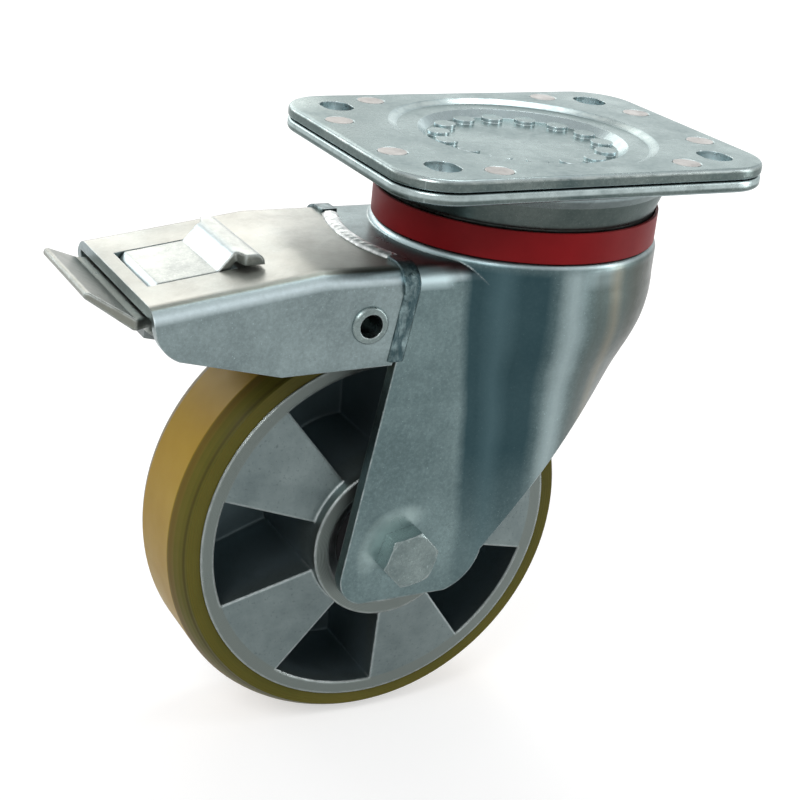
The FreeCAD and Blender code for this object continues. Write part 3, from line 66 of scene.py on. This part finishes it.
class Graph:
    """A material's node tree, with short calls for the nodes that the finishes share."""

    def __init__(self, name):
        self.material = bpy.data.materials.new(name)
        self.material.use_nodes = True
        self.tree = self.material.node_tree
        self.shader = self.tree.nodes["Principled BSDF"]
        coordinates = self.tree.nodes.new("ShaderNodeTexCoord")
        self.place = coordinates.outputs["Object"]
        self.facing = coordinates.outputs["Normal"]

    def add(self, kind, **settings):
        node = self.tree.nodes.new(f"ShaderNode{kind}")
        for key, setting in settings.items():
            setattr(node, key, setting)
        return node

    def link(self, source, target):
        self.tree.links.new(source, target)

    def feed(self, socket, item):
        if isinstance(item, bpy.types.NodeSocket):
            self.link(item, socket)
        else:
            socket.default_value = item

    def set(self, **sockets):
        """Fills the shader's sockets, named with _ for each space, and gives the material."""
        for key, item in sockets.items():
            self.feed(self.shader.inputs[key.replace("_", " ")], item)
        return self.material

    def math(self, operation, a, b=0.0):
        node = self.add("Math", operation=operation)
        self.feed(node.inputs[0], a)
        self.feed(node.inputs[1], b)
        return node.outputs[0]

    def times(self, first, *others):
        for other in others:
            first = self.math("MULTIPLY", first, other)
        return first

    def plus(self, first, *others):
        for other in others:
            first = self.math("ADD", first, other)
        return first

    def axes(self):
        node = self.add("SeparateXYZ")
        self.link(self.place, node.inputs[0])
        return node.outputs["X"], node.outputs["Y"], node.outputs["Z"]

    def facing_along(self, axis):
        """1 on a face square to the axis, 0 on one along it, and between them where a bend turns."""
        node = self.add("SeparateXYZ")
        self.link(self.facing, node.inputs[0])
        return self.math("ABSOLUTE", node.outputs[axis])

    def radius(self, centre):
        """Distance from a line along Y through the centre."""
        x, _, z = self.axes()
        dx = self.math("SUBTRACT", x, centre[0])
        dz = self.math("SUBTRACT", z, centre[2])
        return self.math("SQRT", self.plus(self.times(dx, dx), self.times(dz, dz)))

    def stretched(self, x, y, z):
        node = self.add("Mapping")
        self.link(self.place, node.inputs["Vector"])
        node.inputs["Scale"].default_value = (x, y, z)
        return node.outputs["Vector"]

    def along(self, axis, value, scale):
        """A place that changes with one value alone, for a pattern of lines across it."""
        node = self.add("CombineXYZ")
        self.link(self.times(value, scale), node.inputs[axis])
        return node.outputs[0]

    def noise(self, scale, detail=3.0, rough=0.5, place=None):
        node = self.add("TexNoise")
        self.link(place or self.place, node.inputs["Vector"])
        node.inputs["Scale"].default_value = scale
        node.inputs["Detail"].default_value = detail
        node.inputs["Roughness"].default_value = rough
        return node.outputs["Fac"]

    def spread(self, value, low, high, to_low=0.0, to_high=1.0):
        node = self.add("MapRange", clamp=True)
        self.link(value, node.inputs["Value"])
        limits = (("From Min", low), ("From Max", high), ("To Min", to_low), ("To Max", to_high))
        for name, item in limits:
            node.inputs[name].default_value = item
        return node.outputs["Result"]

    def patches(self, scale, low, high, detail=3.0, rough=0.5, to_low=0.0, to_high=1.0, place=None):
        """Noise with more contrast: to_low where it is under low, and to_high over high."""
        return self.spread(self.noise(scale, detail, rough, place), low, high, to_low, to_high)

    def rise(self, value, level, soft):
        """0 below the level and 1 above it, with a soft change."""
        return self.spread(value, level - soft, level + soft)

    def fall(self, value, level, soft):
        """1 below the level and 0 above it, with a soft change."""
        return self.spread(value, level - soft, level + soft, 1.0, 0.0)

    def band(self, value, low, high, soft):
        """1 between two levels, with soft ends."""
        return self.times(self.rise(value, low, soft), self.fall(value, high, soft))

    def mix(self, share, a, b):
        node = self.add("Mix", data_type="RGBA")
        self.feed(node.inputs["Factor"], share)
        self.feed(node.inputs["A"], opaque(a))
        self.feed(node.inputs["B"], opaque(b))
        return node.outputs["Result"]

    def paint(self, base, colour, *shares):
        """The base with a colour over it, as strong as the product of the shares."""
        return self.mix(self.times(*shares), base, colour)

    def bump(self, height, distance, strength, normal=None):
        node = self.add("Bump")
        node.inputs["Strength"].default_value = strength
        node.inputs["Distance"].default_value = distance
        self.link(height, node.inputs["Height"])
        if normal:
            self.link(normal, node.inputs["Normal"])
        return node.outputs["Normal"]

    def bevel(self, radius):
        node = self.add("Bevel", samples=4)
        node.inputs["Radius"].default_value = radius
        return node.outputs["Normal"]

    def edge(self, bevelled):
        """1 on sharp edges, where the bevelled normal leaves the face's own, and 0 on open faces."""
        node = self.add("VectorMath", operation="DOT_PRODUCT")
        self.link(bevelled, node.inputs[0])
        self.link(self.add("NewGeometry").outputs["Normal"], node.inputs[1])
        return self.spread(node.outputs["Value"], 0.995, 0.86)


def opaque(colour):
    return colour if isinstance(colour, bpy.types.NodeSocket) else (*colour, 1.0)


def shade(colour, factor):
    return [min(1.0, channel * factor) for channel in colour]


# Finishes

def zinc(name, dark, light, rough=(0.22, 0.42), edge=0.0006, clouds=38, bend_highlight=(0.45, 0.80, 0.65),
         tint=WHITE, wear_and_painted_light=None, blur=None):
    """Zinc plating: clouds, speckle, drawn streaks, a painted highlight on bends, a piece's own painted light
    and tone, and a ragged light colour along sharp edges that is partly wear and partly a painted highlight.

    rough is for light and dark clouds, edge is the radius at sharp edges, and the bend highlight's three
    numbers give the steepest and the most level part of a bend that is painted bright, and how bright.
    """
    g = Graph(name)
    cloud = g.patches(clouds, 0.36, 0.66, 6.0, 0.62)
    fine = g.patches(420, 0.35, 0.68, 4.0, 0.7)
    mottle = g.noise(900, 5.0, 0.75)
    speck = g.patches(1300, 0.66, 0.74, 2.0, 0.6)
    base = g.mix(cloud, dark, light)
    base = g.paint(base, shade(light, 0.72), fine, 0.35)
    base = g.paint(base, shade(light, 1.5), g.spread(mottle, 0.50, 0.66, 0.0, 0.22))
    base = g.paint(base, shade(dark, 0.5), g.spread(mottle, 0.50, 0.34, 0.0, 0.22))
    base = g.paint(base, shade(light, 2.2), speck, 0.45)

    # Painted highlight: bends between steep and level are painted a bright zinc colour, in a ragged band.
    steep, level, strength = bend_highlight
    bend = g.times(g.band(g.facing_along("Z"), steep, level, 0.12), g.spread(fine, 0.0, 1.0, 0.75, 1.0))
    base = g.paint(base, BEND_HIGHLIGHT_ZINC, bend, strength)
    # A piece's own painted light and tone, where one is given.
    if wear_and_painted_light:
        base = wear_and_painted_light(g, base)
    rounded = g.bevel(edge)
    ragged = g.patches(230, 0.32, 0.60, 5.0, 0.7)
    # Along sharp edges a ragged light colour, partly wear and partly a painted highlight.
    base = g.paint(base, EDGE_WEAR_AND_HIGHLIGHT, g.edge(rounded), ragged, 0.65)

    polish = g.plus(g.times(cloud, 0.6), g.times(fine, 0.4))
    drawn = g.noise(90, 3.0, 0.6, g.stretched(1.0, 1.0, 9.0))
    height = g.plus(g.noise(700, 5.0, 0.65), g.times(drawn, 0.8))
    if blur:
        rounded = blur(g, rounded)
    return g.set(Base_Color=base, Metallic=1.0, Specular_Tint=opaque(tint),
                 Roughness=g.spread(polish, 0.0, 1.0, rough[1], rough[0]),
                 Normal=g.bump(height, 0.00003, 0.7, rounded))


def plate_painted_light(g, base):
    """Painted light on the plates: a painted highlight along the upper rounding, painted light on the walls of
    the holes, a painted highlight on the outer side of the lower plate, and painted shade on the cup
    underneath.
    """
    x, y, z = g.axes()
    wall = g.fall(g.facing_along("Z"), 0.55, 0.20)
    inside = g.times(g.fall(g.math("ABSOLUTE", x), INNER_HALF_LENGTH, 0.00025),
                     g.fall(g.math("ABSOLUTE", y), INNER_HALF_WIDTH, 0.00025))
    ragged = g.patches(160, 0.30, 0.62, 5.0, 0.7)
    # Painted light: the walls of the holes are painted light.
    base = g.paint(base, HOLE_WALL_PAINTED_LIGHT, wall, inside, g.rise(z, PLATES_UNDERSIDE, 0.0002))
    # Painted highlight: a ragged bright line along the top plate's upper rounding.
    upper_rounding = g.band(z, -0.0012, -0.00025, 0.0002)
    base = g.paint(base, (0.40, 0.45, 0.44), upper_rounding, ragged, 0.7)
    # Painted highlight: the upper half of the lower plate's outer side is painted bright.
    lower_rounding = g.times(g.band(z, -0.0064, -0.0043, 0.0003), g.math("SUBTRACT", 1.0, inside))
    base = g.paint(base, (0.42, 0.50, 0.50), lower_rounding, g.spread(ragged, 0.0, 1.0, 0.45, 0.9))
    # Painted shade: everything below the plates' underside, the cup, is painted darker.
    return g.paint(base, (0.045, 0.055, 0.05), g.fall(z, -0.0096, 0.0004), 0.6)


def cover_painted_light(g, base):
    """Painted light: the flat top is painted warmer and brighter than the sides, and a dark line of painted
    shade runs along the upper edge of its bends.
    """
    up = g.facing_along("Z")
    patch = g.patches(26, 0.30, 0.70, 4.0, 0.6, 0.55, 0.85)
    # Painted light: the level top is painted warmer and brighter.
    base = g.paint(base, (0.29, 0.285, 0.25), g.spread(up, 0.93, 0.985), patch)
    # Painted shade: a dark line where the top starts to turn down.
    return g.paint(base, (0.085, 0.08, 0.055), g.band(up, 0.90, 0.965, 0.025), 0.70)


def cover_blur(g, normal):
    """The cover's top turns down towards the pedal in a wide, soft bend."""
    x, _, _ = g.axes()
    node = g.add("Mix", data_type="VECTOR")
    bend = g.times(g.band(x, -0.096, -0.080, 0.003), g.spread(g.facing_along("Z"), 0.95, 0.98))
    g.feed(node.inputs["Factor"], bend)
    *_, sharp, wide = [socket for socket in node.inputs if socket.type == "VECTOR"]
    g.link(normal, sharp)
    g.link(g.bevel(0.006), wide)
    return next(socket for socket in node.outputs if socket.type == "VECTOR")


def lever_wear(g, base):
    """The pedal is duller and warmer than the tongue and the bar."""
    x, _, _ = g.axes()
    return g.paint(base, (0.16, 0.165, 0.14), g.fall(x, -0.145, 0.002), 0.8)


def bolt_painted_light(g, base):
    """Painted light: the flats of the head and nut are painted brighter than their ends."""
    return g.paint(base, (0.36, 0.44, 0.44), g.fall(g.facing_along("Y"), 0.45, 0.15), 0.8)


# Painted reflection bands of light and shade down the leg. Start of a band, how soft it starts, its end, how
# soft it ends, strength and colour
LEG_REFLECTION_BANDS = (
    (-0.0405, 0.0020, -0.0135, 0.0040, 0.88, (0.018, 0.046, 0.056)),
    (-0.0330, 0.0025, -0.0270, 0.0025, 0.30, (0.100, 0.170, 0.190)),
    (-0.0105, 0.0030, -0.0030, 0.0030, 0.60, (0.340, 0.420, 0.430)),
    (0.0000, 0.0030, None, None, 0.72, (0.068, 0.085, 0.078)),
    (0.0080, 0.0020, 0.0125, 0.0020, 0.35, (0.260, 0.220, 0.150)),
    (0.0160, 0.0040, None, None, 0.70, (0.030, 0.036, 0.024)),
)


def fork_painted_light(g, base):
    """Painted light on the fork: a painted highlight on the bend under the ring, tall painted reflection bands
    of light and shade that fade towards the axle, and a painted pool of light on one side of a disc round the
    bolt.
    """
    x, _, z = g.axes()
    waver = g.times(g.math("SUBTRACT", g.noise(22, 3.0), 0.5), 0.008)
    lean = 0.07
    place = g.plus(x, waver, g.times(z, lean))
    # Painted highlight: a light band on the bend under the ring, on the left and in the middle of the leg.
    bend = g.times(g.band(z, -0.0395, -0.0335, 0.0016), g.fall(g.facing_along("Z"), 0.935, 0.035))
    bend_highlight_reach = g.math("MAXIMUM", g.fall(place, -0.0465, 0.0025),
                    g.times(g.band(place, -0.001, 0.010, 0.003), 0.6))
    base = g.paint(base, (0.60, 0.76, 0.79), bend, bend_highlight_reach, 0.75)

    fade = g.times(g.spread(z, -0.155, -0.100, 0.20, 1.0), g.fall(z, -0.0335, 0.0025))
    # Painted reflection: tall bands of light and shade down the leg, fading towards the axle.
    for start, start_soft, end, end_soft, strength, colour in LEG_REFLECTION_BANDS:
        reflection_band = g.rise(place, start, start_soft)
        if end is not None:
            reflection_band = g.times(reflection_band, g.fall(place, end, end_soft))
        base = g.paint(base, colour, reflection_band, fade, strength)

    # Painted light: a pool of light over one side of a disc round the bolt.
    above = g.math("SUBTRACT", z, AXLE[2])
    ahead = g.math("SUBTRACT", x, AXLE[0])
    upper_left = g.rise(g.math("SUBTRACT", above, ahead), 0.009, 0.005)
    painted_light_by_bolt = g.times(g.fall(g.radius(AXLE), 0.0150, 0.0030), upper_left)
    return g.paint(base, (0.46, 0.58, 0.57), painted_light_by_bolt, g.patches(140, 0.30, 0.60, 4.0, 0.5, 0.35, 0.75))


def weld(name, dark, light, round_shelf):
    """A weld bead under zinc: ripples across its run, round the swivel axis or down the leg."""
    g = Graph(name)
    x, y, z = g.axes()
    run = g.times(g.math("ARCTAN2", y, x), SHELF_WELD_RADIUS) if round_shelf else z
    run = g.plus(run, g.times(g.noise(110, 4.0), 0.0050))
    ripple = g.math("SINE", g.times(run, 1900.0))
    cloud = g.patches(260, 0.34, 0.66, 5.0, 0.65)
    base = g.mix(cloud, dark, light)
    # Painted shade: the troughs of the ripples are painted darker.
    base = g.paint(base, (0.045, 0.055, 0.06), g.spread(ripple, -1.0, -0.2, 0.12, 0.0))
    if not round_shelf:
        streaks = g.patches(330, 0.46, 0.56, 5.0, 0.7, place=g.stretched(1.0, 1.0, 0.25))
        base = g.paint(base, (0.030, 0.060, 0.070), streaks, 0.8)
    height = g.plus(g.times(ripple, 0.25), g.noise(300, 4.0, 0.7))
    return g.set(Base_Color=base, Metallic=1.0, Roughness=g.spread(cloud, 0.0, 1.0, 0.42, 0.26),
                 Normal=g.bump(height, 0.00022, 0.6, g.bevel(0.0008)))


def turned_steel(name, colour, rough=0.28):
    """Bare steel with the fine rings of a lathe or grinder."""
    g = Graph(name)
    rings = g.math("SINE", g.times(g.radius(AXLE), 9000.0))
    base = g.mix(g.patches(120, 0.35, 0.65, 4.0), shade(colour, 0.75), colour)
    height = g.plus(rings, g.noise(900, 3.0))
    return g.set(Base_Color=base, Metallic=1.0, Roughness=rough,
                 Normal=g.bump(height, 0.00002, 0.5, g.bevel(0.0004)))


def spring_wire():
    g = Graph("spring_wire_finish")
    base = g.mix(g.patches(200, 0.3, 0.7, 4.0), (0.30, 0.31, 0.32), (0.48, 0.49, 0.50))
    return g.set(Base_Color=base, Metallic=1.0, Roughness=0.35,
                 Normal=g.bump(g.noise(1500, 3.0), 0.00002, 0.5))


def cast_aluminium():
    """A clouded, pitted skin, painted light in the pockets, a painted highlight along the edges, and a rim and
    hub faces that were turned.
    """
    g = Graph("cast_aluminium_finish")
    _, y, _ = g.axes()
    reach = g.math("ABSOLUTE", y)
    r = g.radius(AXLE)
    cloud = g.patches(70, 0.30, 0.70, 6.0, 0.7)
    skin = g.mix(cloud, (0.125, 0.16, 0.163), (0.18, 0.222, 0.222))
    pits = g.patches(900, 0.60, 0.70, 3.0, 0.6, 0.0, 0.5)
    skin = g.paint(skin, (0.075, 0.095, 0.095), pits)
    # Painted light: the pockets' floors and walls are painted an even blue-grey, as light as the skin's
    # lightest clouds.
    pocket = g.fall(reach, 0.0165, 0.0030)
    skin = g.paint(skin, (0.16, 0.21, 0.23), pocket, 0.93)

    rim = g.times(g.rise(r, 0.0614, 0.0002), g.rise(reach, 0.02015, 0.00015))
    hub = g.times(g.fall(r, 0.0290, 0.0002), g.rise(reach, 0.0271, 0.0021))
    turned = g.math("MAXIMUM", rim, hub)
    base = g.mix(turned, skin, (0.145, 0.17, 0.16))
    rounded = g.bevel(0.0015)
    # Painted highlight: a ragged bright line along sharp edges, weaker deep in the pockets.
    edge_highlight = g.times(g.edge(rounded), g.patches(300, 0.32, 0.60, 4.0, 0.7, 0.4, 1.0))
    base = g.paint(base, (0.60, 0.66, 0.66), edge_highlight, g.spread(pocket, 0.0, 0.6, 0.75, 0.1))

    lathe_rings = g.times(g.math("SINE", g.times(r, 12000.0)), turned)
    height = g.plus(g.noise(800, 5.0, 0.7), g.times(g.noise(160, 3.0), 1.2), g.times(lathe_rings, 0.35))
    rough = g.math("SUBTRACT", g.spread(cloud, 0.0, 1.0, 0.52, 0.36), g.times(turned, 0.10))
    return g.set(Base_Color=base, Metallic=0.92, Roughness=rough,
                 Normal=g.bump(height, 0.00009, 0.80, rounded))


def polyurethane():
    """An amber tread, and olive shoulders and sides with the fine lines of the mould."""
    g = Graph("polyurethane_finish")
    _, y, _ = g.axes()
    reach = g.math("ABSOLUTE", y)
    r = g.radius(AXLE)
    cloud = g.patches(24, 0.3, 0.7, 4.0, 0.6)
    tread = g.mix(cloud, (0.31, 0.185, 0.010), (0.39, 0.25, 0.022))
    side = g.mix(cloud, (0.065, 0.068, 0.009), (0.110, 0.100, 0.016))
    rings = g.patches(1.0, 0.35, 0.65, 4.0, 0.7, place=g.along("X", r, 1400.0))
    side = g.paint(side, (0.17, 0.135, 0.022), rings, 0.6)
    side = g.paint(side, (0.15, 0.085, 0.014), g.band(reach, 0.0122, 0.0150, 0.0008), 0.6)
    seam = g.times(g.band(reach, 0.0186, 0.0195, 0.0003), g.rise(r, 0.0695, 0.0005))
    side = g.paint(side, (0.022, 0.018, 0.004), seam, 0.55)
    off_tread = g.rise(reach, 0.0122, 0.0004)

    side_lines = g.times(g.math("SINE", g.times(r, 7000.0)), off_tread)
    tread_lines = g.noise(1.0, 3.0, 0.6, g.along("Y", y, 2600.0))
    height = g.plus(g.times(side_lines, 0.5), tread_lines, g.noise(300, 3.0))
    g.set(Base_Color=g.mix(off_tread, tread, side), Roughness=g.spread(cloud, 0.0, 1.0, 0.44, 0.34))
    g.set(Normal=g.bump(height, 0.00005, 0.5), IOR=1.45, Specular_IOR_Level=0.15)
    return g.set(Subsurface_Weight=0.08, Subsurface_Scale=0.003)


def moulded(name, colour, rough, grain=0.00003):
    """A moulded plastic or rubber, slightly clouded."""
    g = Graph(name)
    cloud = g.patches(60, 0.3, 0.7, 4.0)
    base = g.mix(cloud, shade(colour, 0.88), shade(colour, 1.12))
    normal = g.bump(g.noise(900, 4.0), grain, 0.6, g.bevel(0.0005))
    return g.set(Base_Color=base, Roughness=g.spread(cloud, 0.0, 1.0, rough + 0.08, rough), Normal=normal,
                 Specular_IOR_Level=0.12)


def dress(material, *names):
    for name in names:
        mesh = nodes[name].data
        mesh.materials.clear()
        mesh.materials.append(material)
        for face in mesh.polygons:
            face.material_index = 0


def dress_nodes():
    dress(zinc("plate_zinc", (0.058, 0.086, 0.086), (0.150, 0.182, 0.174), (0.20, 0.36), edge=0.0004,
               bend_highlight=(0.55, 0.93, 0.50), tint=(0.78, 0.83, 0.83), wear_and_painted_light=plate_painted_light),
          "top_plate", "lower_plate")
    dress(zinc("stud_zinc", (0.165, 0.16, 0.15), (0.25, 0.24, 0.225), (0.26, 0.42), edge=0.0003, clouds=120),
          "plate_studs")
    dress(zinc("fork_zinc", (0.092, 0.135, 0.140), (0.160, 0.222, 0.226), (0.24, 0.40), edge=0.0009,
               wear_and_painted_light=fork_painted_light),
          "fork")
    dress(zinc("cover_zinc", (0.16, 0.205, 0.21), (0.23, 0.29, 0.295), (0.26, 0.42), clouds=55,
               bend_highlight=(0.50, 0.80, 1.0), wear_and_painted_light=cover_painted_light, blur=cover_blur),
          "brake_cover")
    dress(zinc("lever_zinc", (0.215, 0.232, 0.218), (0.31, 0.328, 0.300), (0.24, 0.40), edge=0.0016,
               clouds=70, bend_highlight=(0.5, 0.90, 0.8), wear_and_painted_light=lever_wear),
          "brake_lever")
    dress(zinc("bolt_zinc", (0.13, 0.17, 0.17), (0.21, 0.26, 0.255), (0.20, 0.34), edge=0.0007, clouds=90,
               bend_highlight=(0.45, 0.80, 0.1), wear_and_painted_light=bolt_painted_light),
          "axle_bolt", "axle_nut", "axle_washer", "tube_rivet")
    dress(zinc("inner_zinc", (0.10, 0.12, 0.12), (0.18, 0.20, 0.20), (0.28, 0.46), edge=0.0005, clouds=60),
          "brake_arm", "lock_plate", "lock_collar", "lock_guide", "lever_pin", "pin_bracket_near",
          "pin_bracket_far", "pivot_spacer_near", "pivot_spacer_far", "axle_spacer_near", "axle_spacer_far")
    dress(weld("top_weld_finish", (0.38, 0.41, 0.41), (0.76, 0.79, 0.78), round_shelf=True), "weld_top")
    dress(weld("leg_weld_finish", (0.055, 0.085, 0.09), (0.22, 0.30, 0.31), round_shelf=False),
          "weld_near", "weld_far")
    dress(turned_steel("ground_steel", (0.42, 0.43, 0.44)), "upper_ball_ring", "lower_ball_ring",
          "bearing_inner_near", "bearing_inner_far", "bearing_outer_near", "bearing_outer_far")
    dress(turned_steel("bare_steel", (0.26, 0.27, 0.28), rough=0.38), "axle_sleeve", "bearing_spacer")
    dress(spring_wire(), "lock_spring", "arm_spring")
    dress(cast_aluminium(), "wheel_core")
    dress(polyurethane(), "tyre")
    dress(moulded("red_seal_finish", (0.20, 0.006, 0.008), 0.42), "seal_ring")
    dress(moulded("brake_pad_finish", (0.05, 0.05, 0.05), 0.7, 0.0001), "brake_pad")
    dress(moulded("bearing_seal_finish", (0.03, 0.03, 0.032), 0.5), "bearing_seal_near", "bearing_seal_far")


def squashed_spring():
    """Coils of the same form as the node's, in a mesh of their own, hung on the fork body in the node's place.
    """
    node = nodes["lock_spring"]
    coils = bpy.data.objects.new("lock_spring_coils", node.data.copy())
    bpy.context.scene.collection.objects.link(coils)
    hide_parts("lock_spring")
    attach(coils, "fork_body")
    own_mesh(coils)


# Stage: world, floor, lamps and camera

def seen_or_mirrored(tree):
    """1 for camera, glossy and transmission rays, and 0 for the rays that light the object."""
    path = tree.nodes.new("ShaderNodeLightPath")
    result = path.outputs["Is Camera Ray"]
    for name in ("Is Glossy Ray", "Is Transmission Ray"):
        both = tree.nodes.new("ShaderNodeMath")
        both.operation = "MAXIMUM"
        tree.links.new(result, both.inputs[0])
        tree.links.new(path.outputs[name], both.inputs[1])
        result = both.outputs[0]
    return result


def white_world():
    """White where it is seen or mirrored, and a weaker fill as a light."""
    world = bpy.data.worlds.new("studio")
    bpy.context.scene.world = world
    world.use_nodes = True
    tree = world.node_tree
    background = tree.nodes["Background"]
    background.inputs["Color"].default_value = opaque(WHITE)
    strength = tree.nodes.new("ShaderNodeMapRange")
    strength.inputs["To Min"].default_value = 0.35
    tree.links.new(seen_or_mirrored(tree), strength.inputs["Value"])
    tree.links.new(strength.outputs[0], background.inputs["Strength"])


def pale_floor():
    """A matt floor that keeps the shadow, with a glow of its own where it is seen or mirrored: weaker near the
    object, a painted shade round it, and brighter further out, so that the far floor reads as white.
    """
    reach = 6.0
    corners = [(side_x * reach, side_y * reach, FLOOR_LEVEL)
               for side_x, side_y in ((-1, -1), (1, -1), (1, 1), (-1, 1))]
    mesh = bpy.data.meshes.new("floor")
    mesh.from_pydata(corners, [], [(0, 1, 2, 3)])
    floor = bpy.data.objects.new("floor", mesh)
    bpy.context.scene.collection.objects.link(floor)
    g = Graph("floor_finish")
    x, y, _ = g.axes()
    away = g.math("SQRT", g.plus(g.times(x, x), g.times(y, y)))
    # Painted shade: the glow is weaker near the object and grows towards two metres out.
    glow_with_painted_shade = g.times(seen_or_mirrored(g.tree), g.spread(away, 0.40, 2.0, 0.56, 0.86))
    base = g.mix(g.noise(3.0), (0.54, 0.54, 0.54), (0.56, 0.56, 0.56))
    mesh.materials.append(g.set(Base_Color=base, Roughness=0.9, Specular_IOR_Level=0.1,
                                Emission_Color=opaque(WHITE), Emission_Strength=glow_with_painted_shade))


# Name, place, width, height, watts and colour
LAMPS = (
    ("key", (-0.85, -0.60, 0.75), 0.60, 0.60, 8.0, WHITE),
    ("back", (0.15, 1.15, 0.46), 0.65, 0.75, 3.4, (1.0, 0.96, 0.92)),
    ("back_right", (0.80, 0.95, 0.40), 0.70, 0.70, 1.5, WHITE),
    ("overhead", (0.35, 0.40, 1.00), 0.45, 0.45, 3.6, WHITE),
    ("back_left", (-0.62, 1.05, 0.33), 0.70, 0.26, 2.4, WHITE),
    ("right_strip", (0.75, -0.45, 0.15), 0.25, 0.80, 3.0, WHITE),
)


def hang_lamps():
    for name, place, width, height, watts, colour in LAMPS:
        data = bpy.data.lights.new(name, "AREA")
        data.shape = "RECTANGLE"
        data.size = width
        data.size_y = height
        data.energy = watts
        data.color = colour
        lamp = bpy.data.objects.new(name, data)
        lamp.location = place
        direction = Vector(OBJECT_MIDDLE) - Vector(place)
        lamp.rotation_euler = direction.to_track_quat("-Z", "Y").to_euler()
        lamp.visible_camera = False
        bpy.context.scene.collection.objects.link(lamp)


def set_camera():
    """The camera that a fit to the photograph gives: its place, its axes and its lens."""
    right = Vector((0.88529, -0.45512, 0.09554))
    up = Vector((0.09773, 0.38293, 0.91859))
    back = Vector((-0.45466, -0.80388, 0.38348))
    data = bpy.data.cameras.new("camera")
    data.lens = 75.754
    data.sensor_width = 36.0
    data.clip_start = 0.01
    camera = bpy.data.objects.new("camera", data)
    axes = Matrix((right, up, back)).transposed().to_4x4()
    camera.matrix_world = Matrix.Translation((-0.30833, -0.47933, 0.13219)) @ axes
    bpy.context.scene.collection.objects.link(camera)
    bpy.context.scene.camera = camera


dress_nodes()
squashed_spring()
white_world()
pale_floor()
hang_lamps()
set_camera()
bpy.context.scene.view_settings.view_transform = "Standard"
